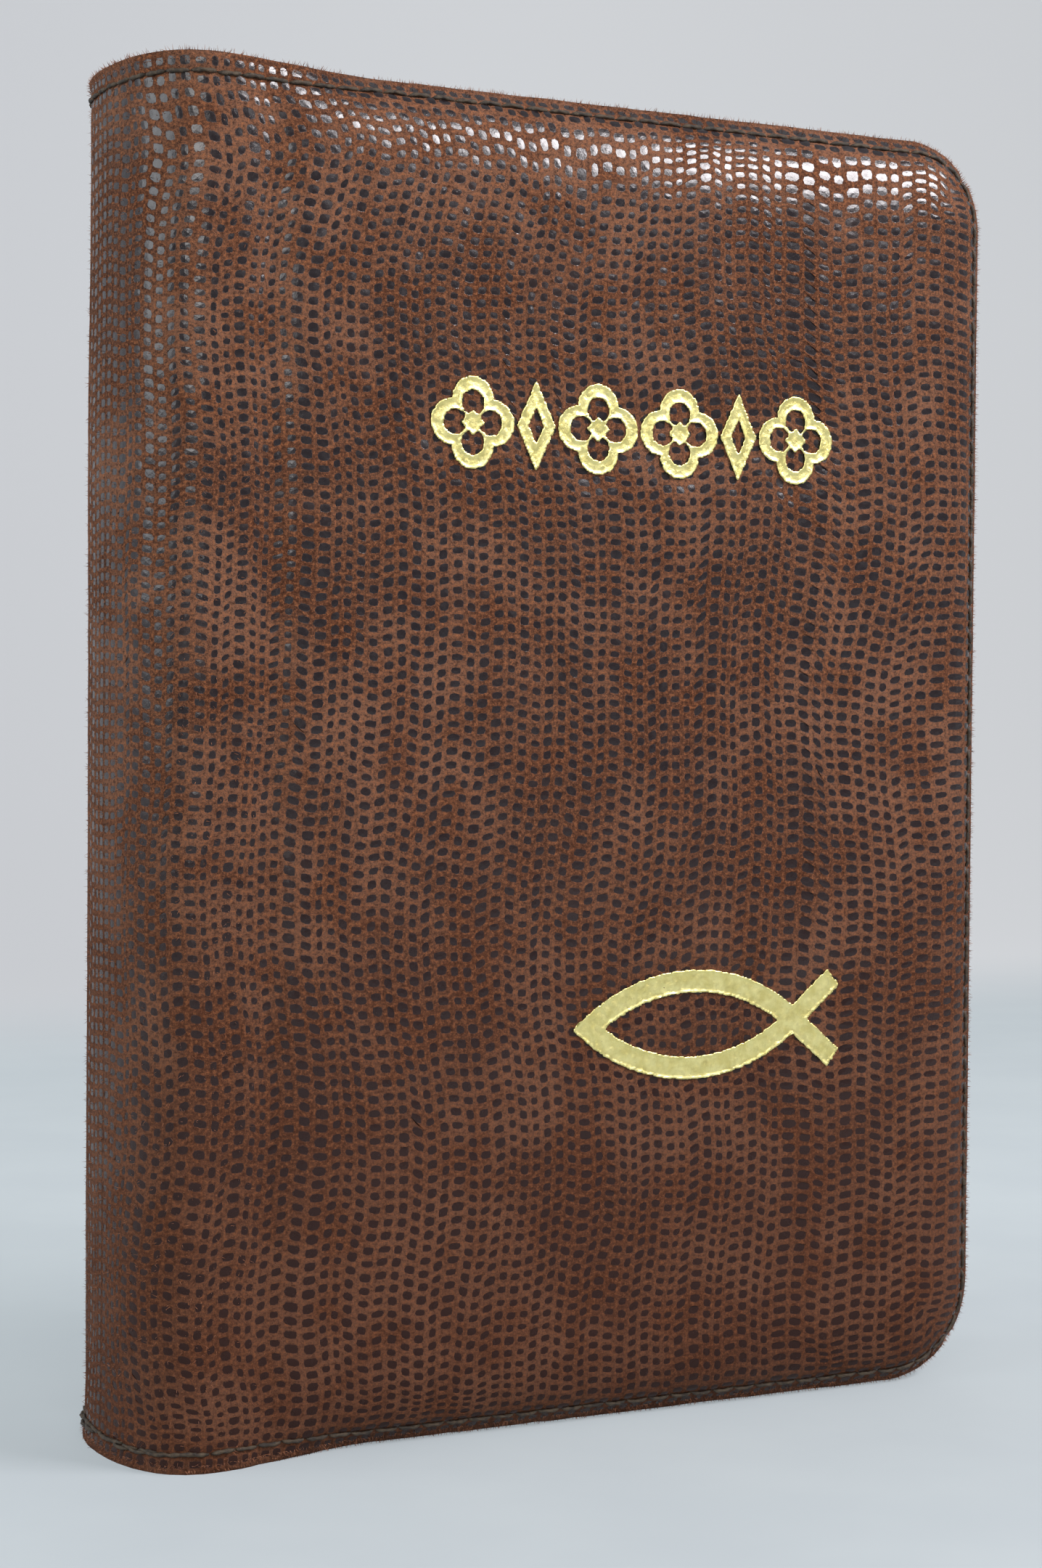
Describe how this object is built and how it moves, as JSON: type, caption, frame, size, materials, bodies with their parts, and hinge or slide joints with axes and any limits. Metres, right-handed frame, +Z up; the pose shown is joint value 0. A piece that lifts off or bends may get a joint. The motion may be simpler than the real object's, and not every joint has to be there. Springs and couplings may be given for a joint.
{
  "type": "zip-around bible",
  "caption": "Medium-format bible in a zip-around lizard-embossed suede case with gold ornaments; covers, leaves, zip slider and pull move.",
  "frame": {"origin": "middle of the bottom of the leather case, at mid thickness", "axes": "+Z up the book from tail to head, +X from the spine to the fore-edge, front cover faces -Y"},
  "size_m": [0.134, 0.034, 0.1873],
  "materials": {
    "hide": "reddish-brown suede with glossy dark embossed scales",
    "thread": "olive-brown waxed thread",
    "gold_foil": "pale gold blocking foil",
    "foam": "thin closed foam",
    "card": "flexible grey-brown card",
    "endpaper": "cream laid paper",
    "paper": "thin bible paper, gilt edges",
    "mull": "open-weave cotton",
    "band_thread": "striped sewn band",
    "ribbon": "satin",
    "tape": "dark brown woven tape",
    "coil": "dark brown nylon coil",
    "zip_metal": "antique brass"
  },
  "bodies": {
    "spine_and_block": {"leather_spine": "hide", "stitching_spine": "thread", "spine_stiffener": "card", "text_block": "paper", "spine_lining": "mull", "headband_head": "band_thread", "headband_tail": "band_thread", "ribbon_marker": "ribbon", "zip_end_head": "tape", "zip_end_tail": "tape", "zip_end_coils": "coil", "zip_stop_head": "zip_metal", "zip_stop_tail": "zip_metal"},
    "front_cover": {"leather_front": "hide", "stitching_front": "thread", "padding_front": "foam", "board_front": "card", "lining_front": "endpaper", "title_foil": "gold_foil", "fish_foil": "gold_foil", "zip_tape_front": "tape", "zip_coil_front": "coil"},
    "back_cover": {"leather_back": "hide", "stitching_back": "thread", "padding_back": "foam", "board_back": "card", "lining_back": "endpaper", "zip_tape_back": "tape", "zip_coil_back": "coil"},
    "front_flyleaf": {"flyleaf_front": "endpaper"},
    "first_leaves": {"leaves_first": "paper"},
    "second_leaves": {"leaves_second": "paper"},
    "last_leaves": {"leaves_last": "paper"},
    "back_flyleaf": {"flyleaf_back": "endpaper"},
    "slider": {"zip_slider": "zip_metal"},
    "pull": {"zip_pull": "zip_metal"}
  },
  "joints": [
    {"name": "front_cover_hinge", "type": "hinge", "parent": "spine_and_block", "child": "front_cover", "pos_m": [-0.054, -0.0172, 0.093], "axis": [0, 0, -1], "range_deg": [0, 175]},
    {"name": "back_cover_hinge", "type": "hinge", "parent": "spine_and_block", "child": "back_cover", "pos_m": [-0.054, 0.0172, 0.093], "axis": [0, 0, 1], "range_deg": [0, 175]},
    {"name": "front_flyleaf_turn", "type": "hinge", "parent": "spine_and_block", "child": "front_flyleaf", "pos_m": [-0.0522, -0.0126, 0.093], "axis": [0, 0, -1], "range_deg": [0, 92]},
    {"name": "first_leaves_turn", "type": "hinge", "parent": "spine_and_block", "child": "first_leaves", "pos_m": [-0.0522, -0.0122, 0.093], "axis": [0, 0, -1], "range_deg": [0, 74]},
    {"name": "second_leaves_turn", "type": "hinge", "parent": "spine_and_block", "child": "second_leaves", "pos_m": [-0.0522, -0.0081, 0.093], "axis": [0, 0, -1], "range_deg": [0, 53]},
    {"name": "last_leaves_turn", "type": "hinge", "parent": "spine_and_block", "child": "last_leaves", "pos_m": [-0.0522, 0.0122, 0.093], "axis": [0, 0, 1], "range_deg": [0, 74]},
    {"name": "back_flyleaf_turn", "type": "hinge", "parent": "spine_and_block", "child": "back_flyleaf", "pos_m": [-0.0522, 0.0126, 0.093], "axis": [0, 0, 1], "range_deg": [0, 92]},
    {"name": "slider_run", "type": "slide", "parent": "spine_and_block", "child": "slider", "axis": [1, 0, 0], "range_m": [0, 0.105]},
    {"name": "pull_flip", "type": "hinge", "parent": "slider", "child": "pull", "pos_m": [-0.0597, 0, 0.1857], "axis": [0, -1, 0], "range_deg": [0, 165]}
  ],
  "couplings": [
    {"joint": "front_flyleaf_turn", "follows": "front_cover_hinge", "ratio": 0.52},
    {"joint": "first_leaves_turn", "follows": "front_cover_hinge", "ratio": 0.42},
    {"joint": "second_leaves_turn", "follows": "front_cover_hinge", "ratio": 0.3},
    {"joint": "back_flyleaf_turn", "follows": "back_cover_hinge", "ratio": 0.52},
    {"joint": "last_leaves_turn", "follows": "back_cover_hinge", "ratio": 0.42}
  ]
}
